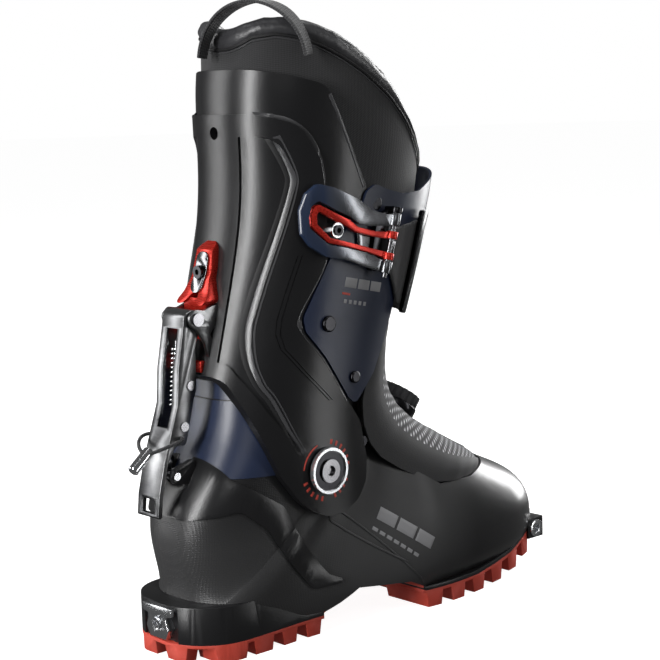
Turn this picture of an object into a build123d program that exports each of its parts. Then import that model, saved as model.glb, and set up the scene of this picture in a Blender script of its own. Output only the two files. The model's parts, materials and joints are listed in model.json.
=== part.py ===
from build123d import *
import math
import os

# A ski-touring boot for the right foot: hinged cuff, heel lock lever, forefoot shell, liner and lugged sole.
# Frame: X towards the toe, Y towards the wearer's left, Z up, millimetres.
# The origin is on the ground under the middle of the heel tread.

# Driving dimensions of the boot
SHELL_WALL = 3.0
PIVOT_X, PIVOT_Z = 45.0, 97.5
PIVOT_HOLE_R = 8.05
BUSHING_R = 8.0
RING_R = 13.0
CUFF_OUTER = 1.2
CUFF_BASE = -0.9
CUFF_INNER = -3.2
LINER_OUTER = -3.8
LINER_WALL = 8.5
LINER_PULL = 6.0
SPINE_HALF = 17.5

# Cuff sections: height, rear x, widest x, front x, half width
CUFF_LEVELS = [
    (60, -8, 50, 114, 47.5),
    (96, -19, 50, 114, 47.0),
    (130, -16, 50, 116, 46.0),
    (160, -8, 56, 126, 45.5),
    (200, 3, 66, 144, 47.0),
    (240, 12, 74, 160, 49.0),
    (280, 14, 80, 166, 51.0),
    (315, 15, 82, 167, 52.0),
    (350, 16, 84, 168, 52.5),
]
CUFF_POWER = 2.3

# Shell sections fan out from an axis above the instep: angle, near end, far end, widest, half widths
FAN_X, FAN_Z = 125.0, 150.0
FAN = [
    (178, 29.0, 126.0, 74, 36.0, 36.0),
    (188, 24.8, 130.5, 76, 37.0, 37.0),
    (196, 22.6, 145.0, 80, 38.5, 38.5),
    (204, 21.2, 170.0, 90, 39.5, 39.0),
    (212, 20.3, 184.0, 104, 40.0, 39.0),
    (220, 19.9, 204.0, 118, 40.0, 39.0),
    (228, 19.8, 199.0, 130, 40.5, 40.0),
    (236, 20.2, 180.0, 131, 42.0, 41.0),
    (245, 21.1, 164.0, 128, 46.0, 43.0),
    (254, 22.6, 155.0, 125, 49.0, 45.0),
    (262, 24.8, 150.5, 121, 51.0, 47.0),
]
# Forefoot sections: x, top z, bottom z, widest z, lateral and medial half widths
FOREFOOT = [
    (125, 121, 2, 34, 52.0, 48.0),
    (142, 109, 2, 34, 51.5, 48.5),
    (160, 98, 2, 34, 50.0, 48.5),
    (180, 87, 3, 34, 47.5, 47.5),
    (200, 77, 4, 34, 43.5, 45.5),
    (218, 69, 6, 34, 38.0, 42.0),
    (232, 62, 8, 34, 31.0, 36.5),
    (242, 54, 10, 33, 23.0, 30.0),
    (249, 44, 14, 31, 12.0, 20.0),
]
SECTION_POINTS = 28
FAN_SPLIT = 5
SOLE_POWER = 2.7
TOP_POWER = 2.3
TOE_CAP_X = 240


def spline_wire(points):
    """A closed smooth wire with evenly spaced parameters, so that lofts stay light."""
    count = len(points)
    knots = [i / count for i in range(count + 1)]
    return Wire([Edge.make_spline([Vector(*p) for p in points], periodic=True, parameters=knots)])


def rounded(angle, power):
    """The two coordinates of a unit superellipse at an angle."""
    c, s = math.cos(angle), math.sin(angle)
    return math.copysign(abs(c) ** (2 / power), c), math.copysign(abs(s) ** (2 / power), s)


def angles():
    return [2 * math.pi * (i + 0.5) / SECTION_POINTS for i in range(SECTION_POINTS)]


FORMS = {}


def cuff_body(offset, front_pull=0.0):
    """The closed form of the cuff, grown or shrunk by an offset, with its front drawn back by a pull."""
    key = ("cuff", offset, front_pull)
    if key not in FORMS:
        wires = []
        for z, rear, wide, front, half in CUFF_LEVELS:
            points = []
            for angle in angles():
                a, b = rounded(angle, CUFF_POWER)
                reach = front - front_pull - wide + offset if a > 0 else wide - rear + offset
                points.append((wide + a * reach, b * (half + offset), z))
            wires.append(spline_wire(points))
        FORMS[key] = Solid.make_loft(wires)
    return FORMS[key]


def fan_wire(section, offset):
    degrees, near, far, wide, lateral, medial = section
    turn = math.radians(degrees)
    points = []
    for angle in angles():
        a, b = rounded(angle, SOLE_POWER if math.cos(angle) > 0 else TOP_POWER)
        r = wide + a * (far - wide + offset if a > 0 else wide - near + offset)
        half = (medial if b > 0 else lateral) + offset
        points.append((FAN_X + r * math.cos(turn), b * half, FAN_Z + r * math.sin(turn)))
    return spline_wire(points)


def forefoot_wire(section, offset):
    x, top, bottom, wide, lateral, medial = section
    points = []
    for angle in angles():
        a, b = rounded(angle, SOLE_POWER if math.cos(angle) > 0 else TOP_POWER)
        z = wide - a * (wide - bottom + offset if a > 0 else top - wide + offset)
        half = (medial if b > 0 else lateral) + offset
        points.append((x + (offset if x > TOE_CAP_X else 0), b * half, z))
    return spline_wire(points)


def shell_body(offset):
    """The closed form of the lower shell, grown or shrunk by an offset."""
    key = ("shell", offset)
    if key not in FORMS:
        heel = [fan_wire(section, offset) for section in FAN[: FAN_SPLIT + 1]]
        front = [fan_wire(section, offset) for section in FAN[FAN_SPLIT:]]
        front += [forefoot_wire(section, offset) for section in FOREFOOT]
        FORMS[key] = Solid.make_loft(heel) + Solid.make_loft(front)
    return FORMS[key]


def block(x0, x1, y0, y1, z0, z1):
    return Pos((x0 + x1) / 2, (y0 + y1) / 2, (z0 + z1) / 2) * Box(x1 - x0, y1 - y0, z1 - z0)


def corner_radii(points, radius):
    """The largest radius up to the wanted one that each corner of a closed outline has room for."""
    radii = []
    count = len(points)
    for i, point in enumerate(points):
        before, after = Vector(*points[i - 1]), Vector(*points[(i + 1) % count])
        here = Vector(*point)
        run = min((here - before).length, (after - here).length)
        turn = math.radians((here - before).get_angle(after - here))
        radii.append(max(0.05, min(radius, 0.45 * run / math.tan(max(turn, 0.02) / 2))))
    return radii


def side_prism(points, y0=-80.0, y1=80.0, radius=0.0):
    """A side-view outline of x, z points, extruded across the boot from y0 to y1."""
    if radius > 0:
        line = FilletPolyline(*points, radius=corner_radii(points, radius), close=True)
    else:
        line = Polyline(*points, close=True)
    plane = Plane(origin=(0, y1, 0), x_dir=(1, 0, 0), z_dir=(0, -1, 0))
    return extrude(plane * make_face(line), y1 - y0)


def plan_prism(outline, z0, z1):
    return extrude(Pos(0, 0, z0) * outline, z1 - z0)


def rod_y(x, z, y0, y1, radius):
    return Pos(x, (y0 + y1) / 2, z) * Rot(90, 0, 0) * Cylinder(radius, abs(y1 - y0))


def rod_x(y, z, x0, x1, radius):
    return Pos((x0 + x1) / 2, y, z) * Rot(0, 90, 0) * Cylinder(radius, abs(x1 - x0))


NODES = {}


def keep(name, *shapes):
    """Store a node as one solid, or as a group of separate solids."""
    solids = []
    for shape in shapes:
        solids += shape.solids()
    NODES[name] = solids[0] if len(solids) == 1 else Compound(children=solids)


# ---------------------------------------------------------------- shared forms
CUFF_SKIN = cuff_body(CUFF_OUTER)
SHELL_SKIN = shell_body(0)

SOLE_LINE = [(-45, 13), (50, 13), (58, 17), (69, 24), (107, 20), (122, 13), (168, 13), (205, 17), (235, 24),
             (262, 28)]
ANKLE_TOP = 140.0
INSTEP_LINE = [(84, ANKLE_TOP), (84, 113), (96, 96.5), (136, 73), (168, 71), (198, 74), (215, 90), (215, 160),
               (84, 160)]


def lower_shell():
    """The forefoot and heel shell, hollow, with a throat over the instep."""
    outside = SHELL_SKIN - side_prism(SOLE_LINE + [(262, -20), (-45, -20)])
    inside = shell_body(-SHELL_WALL) - side_prism([(x, z + 4) for x, z in SOLE_LINE]
                                                  + [(262, -20), (-45, -20)])
    shell = outside - inside
    shell -= block(-60, 130, -80, 80, ANKLE_TOP, 200)
    shell -= side_prism(INSTEP_LINE)
    for side in (-1, 1):
        shell -= rod_y(PIVOT_X, PIVOT_Z, side * 25, side * 60, 5.0)
    return shell


keep("lower_shell", lower_shell())

CUFF_EDGE = [(48.5, 269), (51, 255), (51, 214), (33, 183.5), (34.6, 175), (47.6, 159), (63.7, 134),
             (74, 120.6), (79, 98.7)]
CUFF_LOBE = [(77, 86), (70, 77), (58, 71), (45, 71), (34, 76), (26, 83)]
CUFF_HEM = [(15.4, 97.6), (11.5, 107), (4.1, 125), (-2.5, 142), (-6.5, 155), (-60, 155)]
RECESS = [(-60, 283), (27, 283), (36, 260), (27.3, 232), (16.5, 203), (9.3, 182), (7.4, 171), (7.4, 160),
          (10, 149), (14.7, 141), (22.7, 123), (32.3, 106), (23, 116), (9.9, 135), (-0.9, 155), (-3.4, 162),
          (-60, 162)]


GROOVE = [(33.3, 218), (26, 200), (20, 184), (18.5, 176), (20.5, 167.5), (31.5, 154), (49, 136)]


def groove():
    """A pair of fine lines sunk beside each recess."""
    cut = None
    for shift in (0.0, 2.4):
        there = [(x + shift, z) for x, z in GROOVE]
        back = [(x + shift + 0.7, z) for x, z in reversed(GROOVE)]
        line = side_prism(there + back)
        cut = line if cut is None else cut + line
    return cut - cuff_body(CUFF_OUTER - 0.5)


def cuff():
    """The cuff: a base layer, a thicker outer layer with side recesses, and the hinge lobes."""
    outer = CUFF_SKIN & side_prism([(-60, 296), (20, 295), (38, 288)] + CUFF_EDGE + CUFF_LOBE + CUFF_HEM,
                                   radius=14)
    for side in (-1, 1):
        y0, y1 = sorted((side * SPINE_HALF, side * 80))
        outer -= side_prism(RECESS, y0, y1, radius=12) - cuff_body(CUFF_BASE + 0.5)
    base = cuff_body(CUFF_BASE) & side_prism(
        [(-60, 321), (20, 319), (54, 310), (65.6, 285), (75, 264), (82, 250), (84, 225), (80, 190), (72, 160),
         (64, 131), (74, 117), (78, 98.7)] + CUFF_LOBE + CUFF_HEM, radius=14)
    shape = outer + base - cuff_body(CUFF_INNER) - groove()
    for side in (-1, 1):
        shape -= rod_y(PIVOT_X, PIVOT_Z, side * 25, side * 60, PIVOT_HOLE_R)
    shape -= rod_x(0, 285, -20, 40, 3.5)
    return shape


keep("cuff", cuff())

# ---------------------------------------------------------------- sole
PLAN = [(-40, 0), (-37, -18), (-24, -33), (10, -37), (60, -37), (100, -43), (135, -48.5), (170, -46),
        (205, -39), (232, -29), (249, -17), (256.5, 0), (254, 16), (242, 29), (215, 39.5), (180, 44.5),
        (140, 45), (100, 40), (60, 36), (10, 36), (-24, 33), (-37, 18)]
SOLE_PLAN = make_face(Wire([Edge.make_spline([Vector(x, y) for x, y in PLAN], periodic=True)]))
SHELL_FORM = SHELL_SKIN - side_prism(SOLE_LINE + [(262, -20), (-45, -20)])
TOE_PIN_X, TOE_PIN_Z, TOE_PIN_R, TOE_PIN_DEPTH = 240.0, 22.0, 2.5, 3.5
TOE_PIN_FACE = 31.0
HEEL_SCREW_Z = 20.0
ARCH_START, ARCH_END = 50.0, 120.0


def ground_line(x):
    """Height of the tread above the ground, with the rocker towards the toe."""
    return 0.0 if x < 165 else 0.0018 * (x - 165) ** 2


def strip_below(top, bottom, x0, x1):
    """The sole layer between two depths under the shell's sole line."""
    line = [(x, z) for x, z in SOLE_LINE if x0 < x < x1]
    ends = [(x, sole_height(x)) for x in (x0, x1)]
    line = [ends[0]] + line + [ends[1]]
    return side_prism([(x, z - top) for x, z in line] + [(x, z - bottom) for x, z in reversed(line)])


def sole_height(x):
    for (x0, z0), (x1, z1) in zip(SOLE_LINE, SOLE_LINE[1:]):
        if x0 <= x <= x1:
            return z0 + (z1 - z0) * (x - x0) / (x1 - x0)
    return SOLE_LINE[-1][1]


def biggest(shape):
    return max(shape.solids(), key=lambda solid: solid.volume)


def heel_insert():
    front = [(-13, 29.5), (13, 29.5), (13, 25), (8, 24), (8, 21.5), (10, 17), (7, 11.2), (-7, 11.2),
             (-10, 17), (-8, 21.5), (-8, 24), (-13, 25)]
    plane = Plane(origin=(-41, 0, 0), x_dir=(0, 1, 0), z_dir=(1, 0, 0))
    return extrude(plane * make_face(Polyline(*front, close=True)), 8)


def heel_sole():
    body = plan_prism(SOLE_PLAN, 10, 31) & block(-60, ARCH_START, -60, 60, 0, 60)
    body = body - SHELL_FORM - heel_insert() - block(-45, -36.5, -15, 15, 9, 28)
    return biggest(body)


def toe_sole():
    base = strip_below(0, 2.5, ARCH_END, 258) & plan_prism(SOLE_PLAN, -5, 60)
    ledge = side_prism([(229, 21), (258, 25), (258, 31), (229, 33)]) & plan_prism(SOLE_PLAN, -5, 60)
    cheeks = block(233, 247, -TOE_PIN_FACE + 1, TOE_PIN_FACE - 1, 16, 29)
    body = base + ledge + cheeks - SHELL_FORM - rod_y(TOE_PIN_X, TOE_PIN_Z, -40, 40, 5.5) - toe_tread()
    return biggest(body)


INSERT_SCREW = rod_x(0, HEEL_SCREW_Z, -42.4, -34, 3.2)
keep("heel_tech_insert", heel_insert() - INSERT_SCREW)
keep("heel_insert_screw", INSERT_SCREW - block(-43, -41, -2.2, 2.2, 19.5, 20.5)
     - block(-43, -41, -0.5, 0.5, 17.8, 22.2))
TOE_BAR = rod_y(TOE_PIN_X, TOE_PIN_Z, -TOE_PIN_FACE, TOE_PIN_FACE, 5.5)
for side in (-1, 1):
    TOE_BAR -= rod_y(TOE_PIN_X, TOE_PIN_Z, side * (TOE_PIN_FACE - TOE_PIN_DEPTH), side * (TOE_PIN_FACE + 1),
                     TOE_PIN_R)
keep("toe_tech_insert", TOE_BAR - SHELL_FORM)
keep("arch_strip", strip_below(0, 1.5, ARCH_START, ARCH_END) & plan_prism(SOLE_PLAN, -5, 60))


def lug(x0, x1, y0, y1, top):
    """One tapered tread block."""
    foot = Pos((x0 + x1) / 2, (y0 + y1) / 2, ground_line((x0 + x1) / 2)) * Rectangle(x1 - x0 - 3, y1 - y0 - 2)
    root = Pos((x0 + x1) / 2, (y0 + y1) / 2, top) * Rectangle(x1 - x0, y1 - y0)
    return loft([foot, root])


def tread(rows, middles, x0, x1, skip):
    """A tread layer with paired side lugs and smaller middle lugs."""
    body = strip_below(skip, skip + 1.8, x0, x1)
    for a, b, inner, outer in rows:
        for side in (-1, 1):
            y0, y1 = sorted((side * inner, side * outer))
            body += lug(a, b, y0, y1, sole_height((a + b) / 2) - skip - 0.9)
    for a, b in middles:
        body += lug(a, b, -8, 8, sole_height((a + b) / 2) - skip - 0.9)
    return biggest(body & plan_prism(SOLE_PLAN, -5, 60))


def toe_tread():
    middles = [(133 + 20 * i, 142 + 20 * i) for i in range(5)]
    return biggest(tread(TOE_ROWS, middles, ARCH_END, 258, 2.5) - rod_y(TOE_PIN_X, TOE_PIN_Z, -40, 40, 5.6))


HEEL_ROWS = [(-39.5, -28, 4, 20), (-26, -7, 15, 38), (-3, 12, 15, 38), (18, 30, 15, 38), (36, 48, 15, 38)]
TOE_ROWS = [(122 + 20 * i, 135 + 20 * i, 12, 50) for i in range(6)] + [(241, 251, 4, 30)]
keep("heel_tread", tread(HEEL_ROWS, [(-25, -14), (-6, 6), (16, 28)], -41, ARCH_START, 3))
keep("toe_tread", toe_tread())
keep("heel_sole", heel_sole())
keep("toe_sole", toe_sole())

# ---------------------------------------------------------------- inside the shell
BOARD = shell_body(-4.0)
keep("boot_board", BOARD & block(-60, 232, -60, 60, 28.5, 31.5))
LINER_FOOT = shell_body(-5.0) & block(-60, 260, -80, 80, 32, 136)
for side in (-1, 1):
    LINER_FOOT -= rod_y(PIVOT_X, PIVOT_Z, side * 32, side * 60, 9.0)
LINER_FOOT -= shell_body(-10.5) & block(-60, 260, -80, 80, 38, 200)
keep("liner_foot", LINER_FOOT)
keep("footbed", shell_body(-11.5) & block(-60, 226, -60, 60, 38.3, 42))

# ---------------------------------------------------------------- over the instep
DIAL = Plane(origin=(137, -6, 113.5), x_dir=(0, 1, 0), z_dir=(0.57, -0.08, 0.82))
DIAL_R = 14.0
GAITER_ZONE = side_prism([(84.4, 136), (84.6, 113.4), (96.4, 97), (136, 73.5), (168, 71.5), (197, 74.6),
                          (214, 90), (214, 139.8), (84.4, 139.8)])
LAYER = shell_body(-0.4) - shell_body(-2.6)
DIAL_WELL = DIAL * Pos(0, 0, 2) * Cylinder(DIAL_R + 0.2, 30)
keep("instep_gaiter", *[solid for solid in ((LAYER & GAITER_ZONE) - block(60, 250, -16, 16, 60, 160)
                                            - DIAL_WELL).solids()
                        if solid.volume > 50])
keep("gaiter_mesh", *[solid for solid in ((LAYER & GAITER_ZONE & block(60, 250, -15.9, 15.9, 60, 160))
                                          - DIAL_WELL).solids()
                      if solid.volume > 50])
COVER = shell_body(2.2) - shell_body(0.2)
keep("instep_strap", biggest(COVER & block(158, 192, -15, 12, 70, 130)))
keep("dial_base", biggest(DIAL * Pos(0, 0, 2.5) * Cylinder(DIAL_R, 5.0) - LINER_FOOT))
KNOB = Cylinder(DIAL_R - 0.8, 7)
for step in range(18):
    KNOB -= Rot(0, 0, 20 * step) * Pos(DIAL_R - 0.6, 0, 0) * Cylinder(1.1, 8)
keep("dial_knob", DIAL * Pos(0, 0, 8.8) * KNOB)

# ---------------------------------------------------------------- cuff hinge
for side, name in ((-1, "lateral"), (1, "medial")):
    bushing = rod_y(PIVOT_X, PIVOT_Z, side * 34, side * 48.7, BUSHING_R)
    bushing -= rod_y(PIVOT_X, PIVOT_Z, side * 30, side * 60, 5.0)
    bushing -= SHELL_FORM - rod_y(PIVOT_X, PIVOT_Z, side * 20, side * 60, 5.0)
    ring = rod_y(PIVOT_X, PIVOT_Z, side * 48.8, side * 51.4, RING_R)
    ring -= rod_y(PIVOT_X, PIVOT_Z, side * 50.4, side * 53, RING_R - 1.5)
    bolt = rod_y(PIVOT_X, PIVOT_Z, side * 33, side * 50.8, 4.95)
    bolt += rod_y(PIVOT_X, PIVOT_Z, side * 50.45, side * 51.8, 6.6)
    bolt -= rod_y(PIVOT_X, PIVOT_Z, side * 49.8, side * 53, 3.0)
    keep(f"pivot_bushing_{name}", biggest(bushing))
    keep(f"pivot_ring_{name}", ring - rod_y(PIVOT_X, PIVOT_Z, side * 30, side * 60, 5.0))
    keep(f"pivot_bolt_{name}", bolt)

SHELL_RIVETS = [rod_y(81, 107, side * 33.0, side * 40.2, 2.8) - SHELL_FORM for side in (-1, 1)]
keep("shell_rivets", *[biggest(rivet) for rivet in SHELL_RIVETS])

# ---------------------------------------------------------------- heel frame and lock bar
LOCK_X, LOCK_Z, LOCK_R = -31.5, 102.0, 2.2
FRAME_ZONE = [(-60, 112), (-22.7, 112), (-19, 116), (-10, 99), (18.5, 81), (30, 59), (48.5, 36), (62, 30),
              (38, 29), (20, 50), (8, 69), (-8, 82), (-30, 78), (-60, 78)]
HEEL_FRAME = (shell_body(1.6) - shell_body(0.08)) & side_prism(FRAME_ZONE, radius=6)
HEEL_FRAME -= block(-60, -15, -6, 6, 96, 130)
for side in (-1, 1):
    y0, y1 = sorted((side * 8.2, side * 11.2))
    HEEL_FRAME += side_prism([(-18, 95), (-18, 110), (-33, 106), (-35, 102), (-33, 98)], y0, y1,
                             radius=2) - shell_body(0.08)
HEEL_FRAME -= rod_y(LOCK_X, LOCK_Z, -12, 12, LOCK_R)
keep("heel_frame", biggest(HEEL_FRAME))
keep("lock_bar", rod_y(LOCK_X, LOCK_Z, -12.2, 12.2, LOCK_R))
SPINE = (shell_body(-0.2) - shell_body(-2.2)) & block(-40, 2, -60, 60, ANKLE_TOP + 0.2, 149.5)
keep("heel_spine_panel", biggest(SPINE))

# ---------------------------------------------------------------- tongue, strap and rivets on the cuff
TONGUE_ZONE = [(51.8, 213.5), (34.8, 183.6), (36, 176), (48.8, 160.2), (64.8, 135.6), (70.5, 131), (89, 146),
               (98, 160.6), (105, 176), (110, 192), (126, 204), (180, 208), (180, 262), (166, 259),
               (128, 247), (110, 247), (97, 250), (86, 254), (79, 250), (76, 242), (60, 226)]
TONGUE = (cuff_body(1.0) - cuff_body(-0.6)) & side_prism(TONGUE_ZONE, radius=6)
STRAP_ZONE = [(100, 228), (150, 233), (180, 234), (180, 176), (126, 176), (108, 184), (97, 206)]
STRAP = (cuff_body(3.0) - cuff_body(1.3)) & side_prism(STRAP_ZONE, radius=3)


def rivet(x, z, side, face, radius):
    """A domed rivet standing on the cuff's side."""
    head = rod_y(x, z, side * (face - 2.5), side * (face + 1.4), radius)
    return fillet(head.edges().filter_by(GeomType.CIRCLE).sort_by(Axis.Y)[0 if side < 0 else -1], 1.0)


RIVETS = [(69.5, 146.5, 46.8, 3.4), (50.7, 179, 47.2, 4.6), (87.5, 243, 48.6, 4.2)]
RIVET_SET = [rivet(x, z, side, face, radius) for x, z, face, radius in RIVETS for side in (-1, 1)]
for solid in RIVET_SET:
    TONGUE -= solid
keep("cuff_tongue", biggest(TONGUE))
keep("tongue_rivets", *RIVET_SET)
NODES["cuff"] = biggest(NODES["cuff"] - Compound(children=RIVET_SET))
keep("power_strap", biggest(STRAP))
STRAP_PLATE = (cuff_body(6.0) - cuff_body(3.2)) & side_prism([(126, 236), (134, 236), (120, 176), (112, 178)],
                                                             -80, -20, radius=2)
keep("strap_plate", biggest(STRAP_PLATE))

# ---------------------------------------------------------------- buckle
BUCKLE = Vector(91, -56.0, 220.5)
PIN_DIR = Vector(0.289, 0, 0.957)


def on_pin(low, high, radius):
    """A rod on the buckle's hinge line between two distances from its middle."""
    middle = BUCKLE + PIN_DIR * ((low + high) / 2)
    return Plane(origin=middle, z_dir=PIN_DIR) * Cylinder(radius, high - low)


LEVER_LAYER = cuff_body(8.6) - cuff_body(6.2)
LEVER_ZONE = [(31.5, 230), (31.5, 243), (35, 252), (41, 257), (50, 254.5), (66, 247), (77, 240), (86, 237.5),
              (95.5, 236), (93, 229.8), (84, 231), (75, 231.5), (66, 233.5), (60, 238), (52, 241.7),
              (41, 248), (37, 245), (35.5, 239), (35.5, 233), (46, 223.5), (57, 221), (72, 217), (85, 211.4),
              (90, 208), (86, 204.5), (70, 209.5), (57, 214.5), (44.5, 217), (36, 223)]
LEVER = LEVER_LAYER & side_prism(LEVER_ZONE, -80, 0, radius=3)
LEVER += on_pin(10.0, 17.0, 3.2) + on_pin(-17.0, -10.5, 3.2)
LEVER -= on_pin(-30, 30, 1.55)
LEVER -= on_pin(-10.2, 9.7, 4.2)
keep("buckle_lever", biggest(LEVER))
BAIL_ZONE = [(37.2, 234), (37, 240), (38.3, 243.6), (41, 245.8), (52, 239.7), (60, 236), (66, 231.6),
             (80, 228), (94, 226.6), (92.8, 222.4), (79, 225.2), (65, 228.8), (58, 232.8), (51, 236.6),
             (41.2, 242.2), (39.8, 240), (39.8, 235), (47, 227.2), (57, 224.4), (73, 219.8), (90, 215.4),
             (89, 211.8), (73, 217.2), (57, 221.8), (46, 224.6)]
BAIL = (cuff_body(8.4) - cuff_body(5.4)) & side_prism(BAIL_ZONE, -80, 0, radius=1.5)
BAIL += on_pin(2.6, 6.6, 3.2) + on_pin(-9.4, -5.6, 3.2)
BAIL -= on_pin(-30, 30, 1.55)
keep("buckle_bail", biggest(BAIL))
keep("buckle_pin", on_pin(-19.5, 19.5, 1.5))
BASE = (cuff_body(5.0) - cuff_body(1.3)) & side_prism([(78, 206), (84, 236), (97, 240), (99, 232), (93, 204)],
                                                      -80, 0, radius=3)
BASE = biggest(BASE) + on_pin(17.4, 20.5, 3.4) + on_pin(-20.5, -17.4, 3.4) + on_pin(-5.2, 2.2, 3.0)
BASE += Plane(origin=BUCKLE + PIN_DIR * 19 + Vector(0, 3, 0), z_dir=PIN_DIR) * Box(6, 7, 3)
BASE += Plane(origin=BUCKLE - PIN_DIR * 19 + Vector(0, 3, 0), z_dir=PIN_DIR) * Box(6, 7, 3)
BASE -= on_pin(-30, 30, 1.5)
BASE -= cuff_body(1.3)
BASE -= on_pin(2.3, 17.3, 3.6)
BASE -= on_pin(-17.3, -5.3, 3.6)
keep("buckle_base", biggest(BASE))
CATCH_X, CATCH_Z = 52.0, 231.0
CATCH_POST = rod_y(CATCH_X, CATCH_Z, -56.5, -46, 3.0)
keep("catch_screw", CATCH_POST - rod_y(CATCH_X, CATCH_Z, -60, -54.5, 1.6) - cuff_body(CUFF_OUTER))
keep("catch_washer", rod_y(CATCH_X, CATCH_Z, -55.5, -46, 4.2) - rod_y(CATCH_X, CATCH_Z, -60, -40, 3.0)
     - cuff_body(CUFF_OUTER))

# ---------------------------------------------------------------- rear bracket and lock lever
LEVER_PIN_X, LEVER_PIN_Z = -14.0, 186.0
SPINE_SKIN = cuff_body(CUFF_OUTER + 0.05)


def rear_face(points, x0=-60, x1=30):
    """An outline of y, z points seen from behind, extruded along the boot."""
    plane = Plane(origin=(x0, 0, 0), x_dir=(0, 1, 0), z_dir=(1, 0, 0))
    line = FilletPolyline(*points, radius=corner_radii(points, 6), close=True)
    return extrude(plane * make_face(line), x1 - x0)


BRACKET_REAR = [(9, 227), (3, 222), (0.5, 210), (-4.5, 199), (-9.5, 193)]
BRACKET_BACK = [(-8, 212), (-8, 206), (-13, 193), (-6, 193), (0, 203), (6, 193), (13, 193), (8, 206),
                (8, 212), (6, 227), (-6, 227)]
BRACKET = side_prism(BRACKET_REAR + [(25, 193), (25, 227)]) & rear_face(BRACKET_BACK)
BRACKET += side_prism([(-5.5, 166), (-5.5, 196), (20, 196), (20, 166)], -9.8, 9.8)
PLATE_SLAB = side_prism(BRACKET_REAR[:4] + [(x - 1.2, z) for x, z in reversed(BRACKET_REAR[:4])])
LEAN_PLATE = PLATE_SLAB & rear_face([(-5, 199), (5, 199), (5, 221), (-5, 221)])
SCREW_SPOT = rod_x(0, 210, -3.2, 14, 3.6)
keep("lean_bracket", biggest(BRACKET - SPINE_SKIN - SCREW_SPOT))
keep("lean_plate", biggest(LEAN_PLATE - SCREW_SPOT - SPINE_SKIN - BRACKET))
keep("lean_screw", biggest(SCREW_SPOT - rod_x(0, 210, -5, -1.2, 1.6) - SPINE_SKIN))
SIDE_PLATE = [(-18.5, 183), (-19.5, 187.5), (-15, 191.5), (-9, 190.4), (-3, 192.4), (12, 192.8), (12, 163),
              (-6.5, 163), (-9, 172), (-14, 180)]
SIDE_SLOT = [(-3.5, 172), (-5.5, 177), (-2, 181), (0, 179), (-1, 172)]
PLATES = []
for side in (-1, 1):
    y0, y1 = sorted((side * 10.3, side * 12.6))
    plate = side_prism(SIDE_PLATE, y0, y1, radius=3) - side_prism(SIDE_SLOT, y0 - 1, y1 + 1, radius=1)
    PLATES.append(biggest(plate - rod_y(LEVER_PIN_X, LEVER_PIN_Z, -20, 20, 2.5) - SPINE_SKIN))
keep("side_plates", *PLATES)
keep("lever_bumper", biggest(side_prism([(-11, 156), (-11, 162.4), (10, 162.4), (10, 157)], -10, 10)
                             - SPINE_SKIN))
PIN = rod_y(LEVER_PIN_X, LEVER_PIN_Z, -13.2, 13.2, 2.5)
PIN += rod_y(LEVER_PIN_X, LEVER_PIN_Z, 12.7, 14.0, 3.6) + rod_y(LEVER_PIN_X, LEVER_PIN_Z, -14.0, -12.7, 3.6)
keep("lever_pin", PIN)

LEVER_BACK = [(-20.5, 189), (-21.5, 182), (-26, 159), (-27.5, 140), (-33, 124), (-38, 110), (-42.5, 92),
              (-43.8, 80)]
LEVER_FRONT = [(-41.2, 80), (-40, 91), (-35.5, 109), (-29, 119), (-23, 117), (-20, 128), (-16.5, 141),
               (-14, 148), (-13.6, 170), (-9.5, 183), (-10, 189), (-14, 191.5)]
FRAME = side_prism(LEVER_BACK + LEVER_FRONT, -9.6, 9.6, radius=4)
CHANNEL = [(x + 2.4, z) for x, z in LEVER_BACK[1:6]] + [(-20, 108), (0, 120), (0, 182)]
FRAME -= side_prism(CHANNEL, -6.8, 6.8)
FRAME -= block(-60, 0, -4.6, 4.6, 128, 181) - rod_y(LEVER_PIN_X, LEVER_PIN_Z, -10, 10, 5.6)
FRAME -= rod_y(LEVER_PIN_X, LEVER_PIN_Z, -20, 20, 2.55)
FRAME -= block(-50, -34, -5, 5, 82.5, 90)
keep("lock_lever", biggest(FRAME))
HOOK = side_prism([(-37.4, 104.6), (-28.5, 104.6), (-28, 109), (-31, 112), (-36, 113)], -4.0, 4.0) - FRAME
keep("lock_hook", biggest(HOOK))
keep("lever_rivets", *[rod_y(x, z, side * 9.65, side * 10.25, 2.6) for x, z in ((-18, 150), (-23.5, 128))
                       for side in (-1, 1)])
SPRING_TOP = Vector(-17.5, 0, 179)
SPRING_END = Vector(-22.0, 0, 132)
SPRING_AXIS = (SPRING_TOP - SPRING_END).normalized()
COIL_OUTER, COIL_INNER, COIL_LENGTH, COIL_TURNS = 4.1, 2.6, 34.0, 13
COIL_PITCH = COIL_LENGTH / COIL_TURNS
COIL = Cylinder(COIL_OUTER, COIL_LENGTH) - Cylinder(COIL_INNER, COIL_LENGTH)
for turn in range(COIL_TURNS - 1):
    GAP = Cylinder(COIL_OUTER + 1, 0.45 * COIL_PITCH) - Cylinder(COIL_INNER + 0.5, 0.45 * COIL_PITCH)
    COIL -= Pos(0, 0, (turn + 1) * COIL_PITCH - COIL_LENGTH / 2) * GAP
keep("lever_spring", Plane(origin=SPRING_END + SPRING_AXIS * 23, z_dir=SPRING_AXIS) * COIL)
keep("spring_rod", Plane(origin=SPRING_END + SPRING_AXIS * 22, z_dir=SPRING_AXIS) * Cylinder(1.7, 40))

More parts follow.
